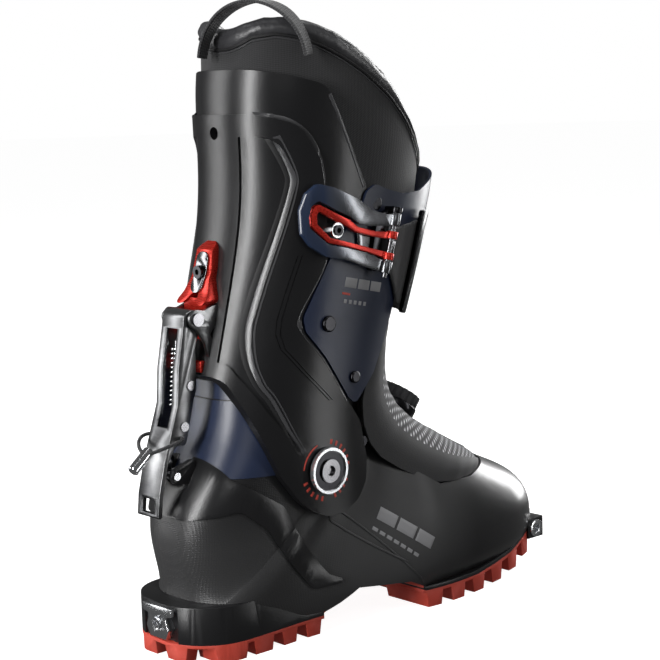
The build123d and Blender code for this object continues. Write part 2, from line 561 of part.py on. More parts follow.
# ---------------------------------------------------------------- pull cord and its toggle
CORD_R = 1.0
TOGGLE_NEAR, TOGGLE_FAR = Vector(-44.0, -4.5, 117.5), Vector(-57.0, -6.5, 108.5)
TOGGLE_DIR = (TOGGLE_FAR - TOGGLE_NEAR).normalized()
TOGGLE_LENGTH = (TOGGLE_FAR - TOGGLE_NEAR).length
TOGGLE = Plane(origin=(TOGGLE_NEAR + TOGGLE_FAR) / 2, z_dir=TOGGLE_DIR) * Cylinder(3.1, TOGGLE_LENGTH)
CORD_ROUTE = [(-25.5, -9.65, 122), (-28, -14.5, 122.2), (-33.5, -16.0, 121.6), (-40.5, -12.6, 119.0),
              (-45.6, -8.0, 116.6), (-46.6, -4.9, 115.8), (-46.2, -0.5, 116.3), (-43.6, 6.0, 118.6),
              (-38.8, 11.6, 121.0), (-33, 14.6, 122.2), (-28, 13.8, 122.2), (-25.5, 9.65, 122)]


def cord(points):
    """A thin cord along straight runs joined by arcs."""
    points = [Vector(*point) for point in points]
    radii = []
    for a, b, c in zip(points, points[1:], points[2:]):
        turn = math.radians((b - a).get_angle(c - b))
        radii.append(0.45 * min((b - a).length, (c - b).length) / math.tan(turn / 2))
    path = FilletPolyline(*points, radius=radii)
    return sweep(Plane(origin=path @ 0, z_dir=path % 0) * Circle(CORD_R), path=path)


PULL_CORD = cord(CORD_ROUTE)
keep("pull_cord", biggest(PULL_CORD - FRAME))
keep("pull_toggle", biggest(chamfer(TOGGLE.edges(), 0.5) - PULL_CORD))

# ---------------------------------------------------------------- liner inside the cuff
COLLAR_LINE = [(-60, 322), (14, 322), (19, 329), (24, 336), (32, 337), (41, 334.5), (53, 330), (67, 323),
               (83, 314), (102, 301), (117, 287), (130, 272), (180, 212)]
RIM_LINE = [(180, 222), (157, 250), (130, 281), (126, 287), (114, 300.5), (102, 313), (90, 322), (78, 330),
            (65, 337), (52, 342.5), (43, 345), (35, 346.5), (27, 346.5), (22, 344.5), (17, 337), (14, 332),
            (-60, 332)]
LINER_TUBE = cuff_body(LINER_OUTER, LINER_PULL)
LINER_BORE = cuff_body(LINER_OUTER - LINER_WALL, LINER_PULL)
LINER_LEG = (LINER_TUBE - LINER_BORE) & block(-60, 200, -80, 80, 160, 360)
keep("liner_cuff", LINER_LEG & side_prism([(-60, 100), (180, 100)] + list(reversed(COLLAR_LINE))))
keep("liner_collar", LINER_LEG & side_prism(COLLAR_LINE + RIM_LINE))

# The pull loop arches from the liner's rear to its outer side.
LOOP_REAR, LOOP_SIDE = Vector(11, 3, 322), Vector(40, -47, 322)
LOOP_HEIGHT, LOOP_WIDTH, LOOP_THICKNESS = 34.5, 12.0, 2.2
LOOP_ALONG = (LOOP_SIDE - LOOP_REAR).normalized()
LOOP_PLANE = Plane(origin=(LOOP_REAR + LOOP_SIDE) / 2, x_dir=LOOP_ALONG,
                   z_dir=LOOP_ALONG.cross(Vector(0, 0, 1)))
LOOP_HALF = (LOOP_SIDE - LOOP_REAR).length / 2 + 3
ARCH = extrude(Ellipse(LOOP_HALF, LOOP_HEIGHT), LOOP_WIDTH / 2, both=True)
ARCH -= extrude(Ellipse(LOOP_HALF - LOOP_THICKNESS, LOOP_HEIGHT - LOOP_THICKNESS), LOOP_WIDTH, both=True)
keep("pull_loop", biggest((LOOP_PLANE * ARCH - LINER_LEG) & block(-60, 100, -80, 60, 326, 400)))

os.makedirs("parts", exist_ok=True)
for node, shape in NODES.items():
    export_step(shape, f"parts/{node}.step")
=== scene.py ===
import json
import math

import bmesh
import bpy
from mathutils import Matrix, Vector
from mathutils.bvhtree import BVHTree


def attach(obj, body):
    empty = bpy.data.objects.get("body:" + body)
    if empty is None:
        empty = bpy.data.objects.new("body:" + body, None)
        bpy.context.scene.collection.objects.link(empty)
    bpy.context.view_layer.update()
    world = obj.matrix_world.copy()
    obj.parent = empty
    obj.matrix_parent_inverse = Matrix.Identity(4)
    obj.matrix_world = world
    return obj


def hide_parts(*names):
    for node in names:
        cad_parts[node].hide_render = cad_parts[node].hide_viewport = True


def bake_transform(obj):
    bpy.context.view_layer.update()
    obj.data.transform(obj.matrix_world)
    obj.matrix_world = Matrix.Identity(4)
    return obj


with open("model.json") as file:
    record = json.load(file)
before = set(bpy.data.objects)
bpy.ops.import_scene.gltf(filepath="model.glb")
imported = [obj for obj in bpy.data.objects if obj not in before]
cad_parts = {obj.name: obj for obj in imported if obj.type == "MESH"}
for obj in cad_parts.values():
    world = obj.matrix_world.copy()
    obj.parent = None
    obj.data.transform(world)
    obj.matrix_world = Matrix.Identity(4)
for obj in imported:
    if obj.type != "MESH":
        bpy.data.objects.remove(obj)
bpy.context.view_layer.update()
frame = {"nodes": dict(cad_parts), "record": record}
MM = 0.001


# ---------------------------------------------------------------- shader helpers
class Value:
    """A shader output that does arithmetic with numbers and with other outputs."""

    def __init__(self, paint, socket):
        self.paint, self.socket = paint, socket

    def math(self, operation, *others):
        return self.paint.add("Math", {"operation": operation}, [self, *others])

    def __add__(self, other):
        return self.math("ADD", other)

    def __sub__(self, other):
        return self.math("SUBTRACT", other)

    def __rsub__(self, other):
        return self.paint.add("Math", {"operation": "SUBTRACT"}, [other, self])

    def __mul__(self, other):
        return self.math("MULTIPLY", other)

    def __pow__(self, other):
        return self.math("POWER", other)


class Paint:
    """One finish: a material with a principled shader and the nodes that vary over its surface."""

    def __init__(self, name, colour, roughness, metallic=0.0, **constants):
        self.material = bpy.data.materials.new(name)
        self.material.use_nodes = True
        self.tree = self.material.node_tree
        self.shader = self.tree.nodes["Principled BSDF"]
        self.shader.inputs["Base Color"].default_value = (*colour, 1.0)
        self.shader.inputs["Roughness"].default_value = roughness
        self.shader.inputs["Metallic"].default_value = metallic
        for socket, value in constants.items():
            self.shader.inputs[socket.replace("_", " ")].default_value = value
        self.colour, self.roughness = colour, roughness

    def add(self, kind, settings=None, values=(), output=0):
        """Any node: its type, its settings, then the values or links of its sockets, by order or by name."""
        node = self.tree.nodes.new("ShaderNode" + kind)
        for setting, value in (settings or {}).items():
            setattr(node, setting, value)
        pairs = values.items() if isinstance(values, dict) else enumerate(values)
        for socket, value in pairs:
            if isinstance(value, Value):
                self.tree.links.new(value.socket, node.inputs[socket])
            else:
                node.inputs[socket].default_value = value
        return Value(self, node.outputs[output])

    def set(self, socket, value):
        self.tree.links.new(value.socket, self.shader.inputs[socket])

    def place(self):
        return self.add("TexCoord", output="Object")

    def axis(self, letter, source=None):
        return self.add("SeparateXYZ", values=[source or self.place()], output=letter)

    def uv(self, letter):
        return self.axis(letter, self.add("TexCoord", output="UV"))

    def noise(self, scale, detail=3.0, stretch=(1, 1, 1)):
        place = self.add("Mapping", values={"Vector": self.place(), "Scale": stretch})
        return self.add("TexNoise", values={"Vector": place, "Scale": scale, "Detail": detail})

    def ramp(self, value, low, high):
        """0 below low, 1 above high, straight between."""
        return self.add("MapRange", {"clamp": True}, {"Value": value, "From Min": low, "From Max": high})

    def blend(self, factor, dark, light):
        mixed = self.add("Mix", {"data_type": "RGBA"}, output=2)
        node = mixed.socket.node
        for slot, colour in ((6, dark), (7, light)):
            node.inputs[slot].default_value = (*colour, 1.0)
        self.tree.links.new(factor.socket, node.inputs[0])
        return mixed

    def mottle(self, scale, amount, detail=3.0):
        """Slow changes of the colour and the roughness, as handling leaves them."""
        noise = self.noise(scale, detail)
        light = tuple(min(1.0, c * (1 + amount) + 0.01 * amount) for c in self.colour)
        dark = tuple(c * (1 - amount) for c in self.colour)
        self.set("Base Color", self.blend(noise, dark, light))
        self.set("Roughness", noise * (0.35 * self.roughness) + 0.82 * self.roughness)
        return noise

    def bump(self, height, depth, strength=1.0):
        """Relief of a depth in metres, from a height between 0 and 1."""
        self.set("Normal", self.add("Bump", values={"Strength": strength, "Distance": depth,
                                                    "Height": height}))


def wave(value, per_metre):
    """A smooth repeat between 0 and 1."""
    return (value * (2 * math.pi * per_metre)).math("SINE") * 0.5 + 0.5


# ---------------------------------------------------------------- finishes
def moulded(name, colour, roughness):
    """Satin moulded plastic: fine grain, slow changes of gloss."""
    paint = Paint(name, colour, roughness)
    paint.mottle(14, 0.18)
    paint.bump(paint.noise(1800, 2), 0.00004)
    return paint.material


def heel_plastic():
    """Moulded black with a fine dotted grain, glossier towards the toe."""
    paint = Paint("shell_plastic", (0.020, 0.020, 0.021), 0.36, Coat_Roughness=0.12)
    toe = paint.ramp(paint.axis("X"), 0.15, 0.20)
    heel = 1 - paint.ramp(paint.axis("X"), 0.02, 0.09)
    noise = paint.noise(11)
    quarter = 1 - paint.ramp(paint.axis("X"), 0.125, 0.165)
    low = 1 - paint.ramp(paint.axis("Z"), 0.060, 0.095)
    paint.set("Base Color", paint.blend(quarter * low * 0.85 + noise * 0.12, (0.006, 0.006, 0.007),
                                        (0.040, 0.040, 0.041)))
    paint.set("Roughness", noise * 0.10 + 0.28 + quarter * 0.10)
    paint.set("Coat Weight", toe * 0.25)
    rows = wave(paint.axis("X"), 900) * wave(paint.axis("Z"), 1000)
    paint.bump(rows * heel + paint.noise(2200, 2) * 0.25, 0.00006)
    return paint.material


def metal(name, colour, roughness, brushed, metallic=1.0):
    """Bare or anodised metal with its brushing."""
    paint = Paint(name, colour, roughness, metallic)
    lines = paint.noise(160, 4, brushed)
    paint.set("Base Color", paint.blend(lines, tuple(c * 0.82 for c in colour), colour))
    paint.set("Roughness", lines * (0.6 * roughness) + 0.7 * roughness)
    paint.bump(lines, 0.00003)
    return paint.material


def polished(name, colour, roughness):
    paint = Paint(name, colour, roughness, 1.0)
    paint.set("Roughness", paint.noise(60, 4) * roughness + 0.5 * roughness)
    paint.set("Base Color", paint.blend(paint.noise(35), tuple(c * 0.85 for c in colour), colour))
    return paint.material


def rubber(name, colour):
    """Matt rubber, paler where it is scuffed."""
    paint = Paint(name, colour, 0.62, Specular_IOR_Level=0.35)
    scuff = paint.ramp(paint.noise(55, 5), 0.52, 0.75)
    paint.set("Base Color", paint.blend(scuff, colour, tuple(min(1, c * 1.12 + 0.05) for c in colour)))
    paint.set("Roughness", scuff * 0.2 + 0.55)
    paint.bump(paint.noise(1300, 3), 0.00006)
    return paint.material


def knit(name, dark, light, rows, columns, depth):
    """Cloth with rows across the piece's own length: u runs round it and v along it, in metres."""
    paint = Paint(name, dark, 0.85, Sheen_Weight=0.25, Sheen_Roughness=0.5)
    weave = wave(paint.uv("Y"), rows) * 0.65 + wave(paint.uv("X"), columns) * 0.35
    slow = paint.noise(9)
    paint.set("Base Color", paint.blend(weave * (slow * 0.6 + 0.5), dark, light))
    paint.set("Roughness", slow * 0.15 + 0.77)
    paint.bump(weave + paint.noise(900, 2) * 0.4, depth)
    return paint.material


def soft_felt(name, dark, light, roughness=0.8, sheen=0.3):
    """Plain cloth or felt with no direction."""
    paint = Paint(name, dark, roughness, Sheen_Weight=sheen, Sheen_Roughness=0.5)
    fibres = paint.noise(1500, 3)
    paint.set("Base Color", paint.blend(fibres * 0.5 + paint.noise(12) * 0.5, dark, light))
    paint.set("Roughness", paint.noise(20) * 0.15 + (roughness - 0.07))
    paint.bump(fibres, 0.0001)
    return paint.material


def collar_hide():
    """Soft synthetic leather with creases."""
    paint = Paint("collar_hide", (0.030, 0.030, 0.032), 0.36, Coat_Weight=0.25, Coat_Roughness=0.35)
    creases = paint.add("TexVoronoi", {"feature": "SMOOTH_F1"}, {"Vector": paint.place(), "Scale": 420.0})
    folds = paint.noise(70, 4)
    paint.set("Base Color", paint.blend(folds, (0.016, 0.016, 0.018), (0.060, 0.060, 0.064)))
    paint.set("Roughness", folds * 0.3 + 0.25)
    paint.bump(creases * 0.4 + folds, 0.0007)
    return paint.material


def mesh_cloth():
    """Black mesh with pale points in rows."""
    paint = Paint("mesh_cloth", (0.02, 0.02, 0.022), 0.7, Sheen_Weight=0.15)
    dots = (wave(paint.uv("X") + paint.uv("Y") * 0.5, 420) * wave(paint.uv("Y") - paint.uv("X") * 0.5,
                                                                  420)) ** 1.4
    paint.set("Base Color", paint.blend(dots, (0.014, 0.014, 0.016), (0.42, 0.42, 0.44)))
    paint.set("Roughness", 0.85 - dots * 0.4)
    paint.bump(dots, 0.0004)
    return paint.material


def lever_metal():
    """Forged grey metal with random dark and pale patches: painted shade and painted highlight standing in
    for shaded recesses and lit faces.
    """
    paint = Paint("lever_aluminium", (0.30, 0.31, 0.32), 0.30, 1.0)
    lines = paint.noise(90, 4, (1, 1, 14))
    painted_light_patches = paint.ramp(paint.noise(30, 3), 0.40, 0.62)
    # Painted shade and painted highlight: the patches blend between dark grey and pale grey.
    paint.set("Base Color", paint.blend(painted_light_patches * 0.75 + lines * 0.25, (0.05, 0.05, 0.053),
                                        (0.36, 0.365, 0.37)))
    paint.set("Roughness", lines * 0.14 + 0.24)
    paint.bump(lines, 0.00003)
    return paint.material


def hinge_ring(name, middle):
    """The hinge washer: a bright rim round a dark dished face."""
    paint = Paint(name, (0.05, 0.05, 0.053), 0.24, 0.9)
    x, z = paint.axis("X") - middle[0], paint.axis("Z") - middle[1]
    radius = (x * x + z * z) ** 0.5
    rim = paint.ramp(radius, 0.0110, 0.0116)
    paint.set("Base Color", paint.blend(rim, (0.030, 0.030, 0.033), (0.62, 0.63, 0.65)))
    paint.set("Roughness", wave(radius, 1500) * 0.06 + 0.2)
    return paint.material


def navy():
    """Dark blue moulded plastic, greyer towards the back."""
    paint = Paint("navy_plastic", (0.012, 0.022, 0.05), 0.34, Coat_Weight=0.1, Coat_Roughness=0.3)
    pale = 1 - paint.ramp(paint.axis("X"), 0.045, 0.085)
    slow = paint.noise(10)
    paint.set("Base Color", paint.blend(pale * 0.75 + slow * 0.2, (0.005, 0.011, 0.034),
                                        (0.018, 0.028, 0.066)))
    paint.set("Roughness", slow * 0.12 + 0.30)
    paint.bump(paint.noise(1700, 2), 0.00004)
    return paint.material


def lever_finish():
    """The buckle lever: gloss blue at its end, bare polished metal along its arms."""
    paint = Paint("lever_navy", (0.02, 0.03, 0.07), 0.22, Coat_Roughness=0.1)
    bare = paint.ramp(paint.axis("X"), 0.044, 0.062)
    streak = paint.noise(60, 2)
    paint.set("Base Color", paint.blend(bare, (0.016, 0.028, 0.062), (0.17, 0.175, 0.185)))
    paint.set("Metallic", bare)
    paint.set("Roughness", streak * 0.08 + 0.20)
    paint.set("Coat Weight", 1 - bare)
    return paint.material


M = {
    "shell": heel_plastic(),
    "cuff": moulded("cuff_plastic", (0.008, 0.008, 0.009), 0.30),
    "sole": moulded("sole_plastic", (0.009, 0.009, 0.010), 0.38),
    "frame": moulded("heel_frame_plastic", (0.012, 0.012, 0.013), 0.30),
    # The edge finish is paler than the cuff's black: painted highlight on the cuff's bevelled edges, and also
    # the collar's pale piping.
    "edge": moulded("edge_highlight_and_piping", (0.055, 0.055, 0.058), 0.26),
    # The seam finish is the collar's dark seam, and also the matt dark strip of painted shadow beside each
    # cuff recess edge.
    "seam": moulded("dark_seam_and_shadow", (0.008, 0.008, 0.009), 0.6),
    "navy": navy(),
    "lever_navy": lever_finish(),
    "aluminium": lever_metal(),
    "steel": metal("insert_steel", (0.74, 0.75, 0.77), 0.22, (1, 30, 1)),
    "chrome": polished("chrome_steel", (0.82, 0.83, 0.85), 0.09),
    "red": metal("red_anodised", (0.62, 0.030, 0.018), 0.28, (12, 1, 12), metallic=0.55),
    "bolt": polished("bolt_steel", (0.22, 0.22, 0.23), 0.2),
    "gunmetal": polished("black_hardware", (0.035, 0.035, 0.038), 0.22),
    "tread": rubber("tread_red", (0.60, 0.070, 0.045)),
    "dial": rubber("dial_rubber", (0.035, 0.035, 0.038)),
    "liner": knit("liner_knit", (0.012, 0.012, 0.013), (0.032, 0.032, 0.034), 1100, 700, 0.00006),
    "lining": soft_felt("lining_felt", (0.018, 0.018, 0.020), (0.050, 0.050, 0.054)),
    "collar": collar_hide(),
    "softshell": soft_felt("softshell", (0.016, 0.016, 0.017), (0.030, 0.030, 0.032), 0.66, 0.1),
    "mesh": mesh_cloth(),
    "webbing": knit("webbing", (0.012, 0.012, 0.013), (0.055, 0.055, 0.058), 700, 420, 0.0002),
    "cord": knit("cord_braid", (0.008, 0.008, 0.009), (0.06, 0.06, 0.065), 700, 700, 0.0002),
    "mark": moulded("pale_print", (0.30, 0.30, 0.31), 0.4),
    "red_mark": moulded("red_print", (0.62, 0.07, 0.045), 0.45),
    "hinge_ring": hinge_ring("hinge_ring", (0.045, 0.0975)),
}

NODE_FINISH = {
    "shell": ["lower_shell"], "sole": ["heel_sole", "toe_sole", "boot_board"], "cuff": ["cuff"],
    "frame": ["heel_frame"], "navy": ["cuff_tongue", "heel_spine_panel"],
    "gunmetal": ["tongue_rivets", "shell_rivets", "strap_plate", "buckle_base", "lean_screw", "catch_screw",
                 "dial_base", "pivot_bushing_lateral", "pivot_bushing_medial"],
    "steel": ["heel_tech_insert", "heel_insert_screw", "toe_tech_insert", "lock_hook", "spring_rod",
              "lock_bar"],
    "hinge_ring": ["pivot_ring_lateral", "pivot_ring_medial"],
    "bolt": ["buckle_pin", "lean_plate", "pivot_bolt_lateral", "pivot_bolt_medial", "lever_rivets",
             "lever_pin"],
    "chrome": ["catch_washer", "pull_toggle"],
    "tread": ["heel_tread", "toe_tread", "arch_strip"], "dial": ["dial_knob"],
    "red": ["lean_bracket", "lever_bumper", "buckle_bail"], "aluminium": ["side_plates", "lock_lever"],
    "lever_navy": ["buckle_lever"],
}
FINISH_OF = {node: finish for finish, nodes in NODE_FINISH.items() for node in nodes}
SLOT_OF = {part["node"]: part["material_slot"] for part in frame["record"]["subparts"]}
BODY_OF = {node: body for body, nodes in frame["record"]["behaviour"]["bodies"].items() for node in nodes}

for node, finish in FINISH_OF.items():
    carried = frame["nodes"][node].data
    carried.materials.clear()
    carried.materials.append(M[finish])


# ---------------------------------------------------------------- making pieces
def settle(piece, body, slot_name, *replaced, crease=38):
    """Give a finished piece its shading and its body, and hide the CAD nodes it stands for; its slot name is
    not used.
    """
    piece.data.shade_smooth()
    piece.data.set_sharp_from_angle(angle=math.radians(crease))
    if body:
        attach(piece, body)
    if replaced:
        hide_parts(*replaced)
    return piece


def link(name, bm, finish, recalc=True):
    if recalc:
        bmesh.ops.recalc_face_normals(bm, faces=bm.faces)
    mesh = bpy.data.meshes.new(name)
    bm.to_mesh(mesh)
    bm.free()
    piece = bpy.data.objects.new(name, mesh)
    bpy.context.scene.collection.objects.link(piece)
    mesh.materials.append(M[finish])
    return piece


def applied(piece, *modifiers):
    """Run modifiers, each a type with its settings, and keep only their result."""
    for kind, settings in modifiers:
        modifier = piece.modifiers.new(kind.lower(), kind)
        for setting, value in settings.items():
            setattr(modifier, setting, value)
    bpy.context.view_layer.update()
    result = bpy.data.meshes.new_from_object(piece.evaluated_get(bpy.context.evaluated_depsgraph_get()))
    piece.modifiers.clear()
    piece.data = result
    return piece


def merged_copy(node, name, finish):
    """A welded copy of a CAD node as a new piece."""
    bm = bmesh.new()
    bm.from_mesh(frame["nodes"][node].data)
    bmesh.ops.remove_doubles(bm, verts=bm.verts, dist=0.00001)
    bmesh.ops.dissolve_degenerate(bm, edges=bm.edges, dist=0.00001)
    bmesh.ops.dissolve_limit(bm, angle_limit=math.radians(1.5), verts=bm.verts, edges=bm.edges)
    return link(name, bm, finish, recalc=False)


EASED_ANGLE = math.radians(32)


def eased(node, width):
    """A CAD node with its sharp edges rounded over, in its own finish."""
    piece = merged_copy(node, node + "_eased", FINISH_OF[node])
    applied(piece, ("BEVEL", {"width": width, "segments": 2, "limit_method": "ANGLE",
                              "angle_limit": EASED_ANGLE, "use_clamp_overlap": True,
                              "miter_outer": "MITER_ARC"}))
    return settle(piece, BODY_OF[node], SLOT_OF[node], node)


SURFACES = {}


def surface(nodes):
    """A search tree over the outside of some CAD nodes."""
    if nodes not in SURFACES:
        points, faces = [], []
        for node in nodes:
            mesh = frame["nodes"][node].data
            start = len(points)
            points += [v.co.copy() for v in mesh.vertices]
            faces += [[start + i for i in face.vertices] for face in mesh.polygons]
        SURFACES[nodes] = BVHTree.FromPolygons(points, faces)
    return SURFACES[nodes]


def on_side(nodes, x, z, side, lift=0.0):
    """The point met from one side at x, z millimetres, lifted along the normal, and that normal."""
    direction = Vector((0, -side, 0))
    spot, normal, _, _ = surface(nodes).ray_cast(Vector((x * MM, side * 0.2, z * MM)), direction)
    if spot is None:
        return None, None
    if normal.y * side < 0:
        normal = -normal
    return spot + normal * lift, normal


def smooth_line(points, steps):
    """Points along a smooth line through a few given ones."""
    line = []
    count = len(points)
    for i in range(count - 1):
        p0, p1, p2, p3 = (Vector(points[max(0, min(count - 1, k))]) for k in (i - 1, i, i + 1, i + 2))
        for step in range(steps):
            t = step / steps
            line.append(0.5 * (2 * p1 + (p2 - p0) * t + (2 * p0 - 5 * p1 + 4 * p2 - p3) * t ** 2
                               + (3 * p1 - p0 - 3 * p2 + p3) * t ** 3))
    line.append(Vector(points[-1]))
    return line


def ribbon(name, rows, finish, thickness):
    """A strip of quads through rows of points, given a thickness, with u along its length and v across it."""
    bm = bmesh.new()
    uv = bm.loops.layers.uv.new("UVMap")
    grid = [[bm.verts.new(point) for point in row] for row in rows]
    run = [0.0]
    for a, b in zip(rows, rows[1:]):
        run.append(run[-1] + (b[len(b) // 2] - a[len(a) // 2]).length)
    across = [0.0]
    for a, b in zip(rows[0], rows[0][1:]):
        across.append(across[-1] + (b - a).length)
    for i in range(len(grid) - 1):
        for j in range(len(grid[0]) - 1):
            corners = ((i, j), (i + 1, j), (i + 1, j + 1), (i, j + 1))
            face = bm.faces.new([grid[a][b] for a, b in corners])
            for loop, (a, b) in zip(face.loops, corners):
                loop[uv].uv = (across[b], run[a])
    piece = link(name, bm, finish)
    if thickness:
        applied(piece, ("SOLIDIFY", {"thickness": thickness, "offset": 0.0}),
                ("BEVEL", {"width": thickness * 0.3, "segments": 2, "limit_method": "ANGLE"}))
    return piece


def declare_sheet(rows):
    """Measure the widths and lengths of cloth laid out as rows of points; the measures are not used."""
    widths = [sum((b - a).length for a, b in zip(row, row[1:])) for row in rows]
    lengths = [sum((b - a).length for a, b in zip(column, column[1:])) for column in zip(*rows)]


# ---------------------------------------------------------------- camera, light and floor
AZIMUTH, ELEVATION, ROLL = math.radians(-42.14), math.radians(8.39), math.radians(-1.78)
BACK = Vector((math.sin(AZIMUTH) * math.cos(ELEVATION), -math.cos(AZIMUTH) * math.cos(ELEVATION),
               math.sin(ELEVATION)))
FLAT_RIGHT = Vector((math.cos(AZIMUTH), math.sin(AZIMUTH), 0))
FLAT_UP = BACK.cross(FLAT_RIGHT)
RIGHT = FLAT_RIGHT * math.cos(ROLL) + FLAT_UP * math.sin(ROLL)
UP = FLAT_UP * math.cos(ROLL) - FLAT_RIGHT * math.sin(ROLL)
TARGET = Vector((0.09405, 0.0, 0.16606))
DISTANCE = 1.0284


def aimed(obj, place, right, up, back):
    obj.matrix_world = Matrix.Translation(place) @ Matrix((right, up, back)).transposed().to_4x4()


def staged(name, bm, material):
    """A floor or backdrop, which isn't part of the boot."""
    mesh = bpy.data.meshes.new(name)
    bm.to_mesh(mesh)
    bm.free()
    obj = bpy.data.objects.new(name, mesh)
    bpy.context.scene.collection.objects.link(obj)
    mesh.materials.append(material)
    return obj


def studio():
    scene = bpy.context.scene
    view = bpy.data.objects.new("view_camera", bpy.data.cameras.new("view_camera"))
    scene.collection.objects.link(view)
    view.data.lens, view.data.sensor_width = 95.2, 36.0
    aimed(view, TARGET + BACK * DISTANCE, RIGHT, UP, BACK)
    scene.camera = view
    scene.view_settings.view_transform = "Standard"
    world = bpy.data.worlds.new("studio")
    world.use_nodes = True
    world.node_tree.nodes["Background"].inputs["Color"].default_value = (1.0, 1.0, 1.0, 1.0)
    world.node_tree.nodes["Background"].inputs["Strength"].default_value = 0.10
    scene.world = world
    lamps = [("left_strip", (-1.30, -0.10, 0.40), 0.20, 1.3, 22.0),
             ("right_strip", (0.85, -1.05, 0.35), 0.14, 1.2, 4.0),
             ("rear_strip", (-0.9, 1.0, 0.5), 0.35, 1.3, 9.0), ("front_strip", (1.35, 0.15, 0.55), 0.5, 1.2,
                                                                18.0), ("top", (0.25, -0.15, 1.5), 0.8, 0.5,
                                                                        7.0), ("fill", (-0.75, -1.35, 0.9),
                                                                               0.7, 0.5, 1.8)]
    for name, place, width, height, power in lamps:
        lamp = bpy.data.objects.new("lamp_" + name, bpy.data.lights.new("lamp_" + name, "AREA"))
        lamp.data.shape, lamp.data.energy = "RECTANGLE", power
        lamp.data.size, lamp.data.size_y = width, height
        scene.collection.objects.link(lamp)
        back = (Vector(place) - TARGET).normalized()
        right = Vector((0, 0, 1)).cross(back).normalized()
        aimed(lamp, Vector(place), right, back.cross(right), back)
    bm = bmesh.new()
    bmesh.ops.create_grid(bm, x_segments=1, y_segments=1, size=12)
    floor = Paint("pale_floor", (0.55, 0.55, 0.55), 0.9, Specular_IOR_Level=0.1, Emission_Strength=0.93,
                  Emission_Color=(1.0, 1.0, 1.0, 1.0))
    ground = staged("floor", bm, floor.material)
    ground.visible_diffuse = ground.visible_glossy = False
    bm = bmesh.new()
    bmesh.ops.create_cone(bm, cap_ends=False, segments=48, radius1=9, radius2=9, depth=18)
    wall = Paint("white_wall", (0.0, 0.0, 0.0), 1.0, Specular_IOR_Level=0.0, Emission_Strength=1.0,
                 Emission_Color=(1.0, 1.0, 1.0, 1.0))
    backdrop = staged("backdrop", bm, wall.material)
    backdrop.visible_diffuse = backdrop.visible_glossy = backdrop.visible_shadow = False


studio()

# ---------------------------------------------------------------- eased hard parts
for node, width in (("lock_lever", 0.5), ("lean_bracket", 0.6), ("side_plates", 0.4), ("lean_plate", 0.25),
                    ("buckle_lever", 0.5), ("buckle_bail", 0.5), ("heel_tech_insert", 0.5),
                    ("toe_tech_insert", 0.3), ("heel_tread", 0.5), ("toe_tread", 0.5), ("dial_knob", 0.5),
                    ("heel_sole", 0.7), ("toe_sole", 0.6), ("lever_bumper", 0.5), ("lock_hook", 0.3),
                    ("strap_plate", 0.6), ("buckle_base", 0.4), ("dial_base", 0.4), ("heel_frame", 0.4)):
    eased(node, width * MM)

# ---------------------------------------------------------------- liner
# Cuff sections: height, rear x, widest x, front x, half width
CUFF_LEVELS = [(60, -8, 50, 114, 47.5), (96, -19, 50, 114, 47), (130, -16, 50, 116, 46),
               (160, -8, 56, 126, 45.5), (200, 3, 66, 144, 47), (240, 12, 74, 160, 49),
               (280, 14, 80, 166, 51), (315, 15, 82, 167, 52), (350, 16, 84, 168, 52.5)]
SECTION_POWER = 2.3


def between(table, key):
    """Straight interpolation in a table whose first column rises."""
    key = max(table[0][0], min(table[-1][0], key))
    for low, high in zip(table, table[1:]):
        if key <= high[0]:
            t = (key - low[0]) / (high[0] - low[0])
            return [a + (b - a) * t for a, b in zip(low[1:], high[1:])]


LINER_PULL = 6.0


def leg_point(angle, z, offset):
    """A point of the leg's section at a height, in metres; offset grows the section."""
    rear, wide, front, half = between(CUFF_LEVELS, z)
    c, s = math.cos(angle), math.sin(angle)
    a = math.copysign(abs(c) ** (2 / SECTION_POWER), c)
    b = math.copysign(abs(s) ** (2 / SECTION_POWER), s)
    reach = front - LINER_PULL - wide + offset if a > 0 else wide - rear + offset
    return Vector((wide + a * reach, b * (half + offset), z)) * MM


SEAM = [(14, 324), (19, 330), (24, 336.5), (32, 338), (41, 336), (53, 331.5), (67, 324.5), (83, 315.5),
        (102, 302.5), (117, 289), (130, 275), (157, 243), (180, 215)]
RIM = [(14, 333), (17, 338), (22, 344), (27, 346.3), (35, 346.3), (43, 344.8), (52, 342.3), (65, 337),
       (78, 330), (90, 322), (102, 313), (114, 300.5), (126, 287), (130, 281), (157, 250), (180, 222)]


def level_height(table, angle, offset):
    """The height at which a sloping line crosses the leg's surface at an angle round it."""
    z = 320.0
    for _ in range(12):
        z = 0.5 * z + 0.5 * between(table, leg_point(angle, z, offset).x / MM)[0]
    return z


def sleeve(rings, count=72):
    """A tube round the leg: each ring is a function from an angle to a point. u runs round, v along."""
    bm = bmesh.new()
    uv = bm.loops.layers.uv.new("UVMap")
    start = bmesh.ops.create_circle(bm, segments=count, radius=1.0)["verts"]
    rows = [sorted(start, key=lambda v: math.atan2(v.co.y, v.co.x))]
    edges = list(bm.edges)
    for _ in rings[1:]:
        grown = bmesh.ops.extrude_edge_only(bm, edges=edges)["geom"]
        edges = [e for e in grown if isinstance(e, bmesh.types.BMEdge)]
        rows.append(sorted((v for v in grown if isinstance(v, bmesh.types.BMVert)),
                           key=lambda v: math.atan2(v.co.y, v.co.x)))
    run = 0.0
    where = {}
    last = None
    for row, ring in zip(rows, rings):
        for k, vert in enumerate(row):
            vert.co = ring(2 * math.pi * k / count - math.pi)
        middle = row[count // 4].co
        run += (middle - last).length if last else 0.0
        last = middle.copy()
        for k, vert in enumerate(row):
            where[vert] = (k / count * 0.30, run)
    for face in bm.faces:
        us = [where[loop.vert][0] for loop in face.loops]
        for loop in face.loops:
            u, v = where[loop.vert]
            loop[uv].uv = (u + 0.30 if max(us) - min(us) > 0.2 and u < 0.1 else u, v)
    return bm


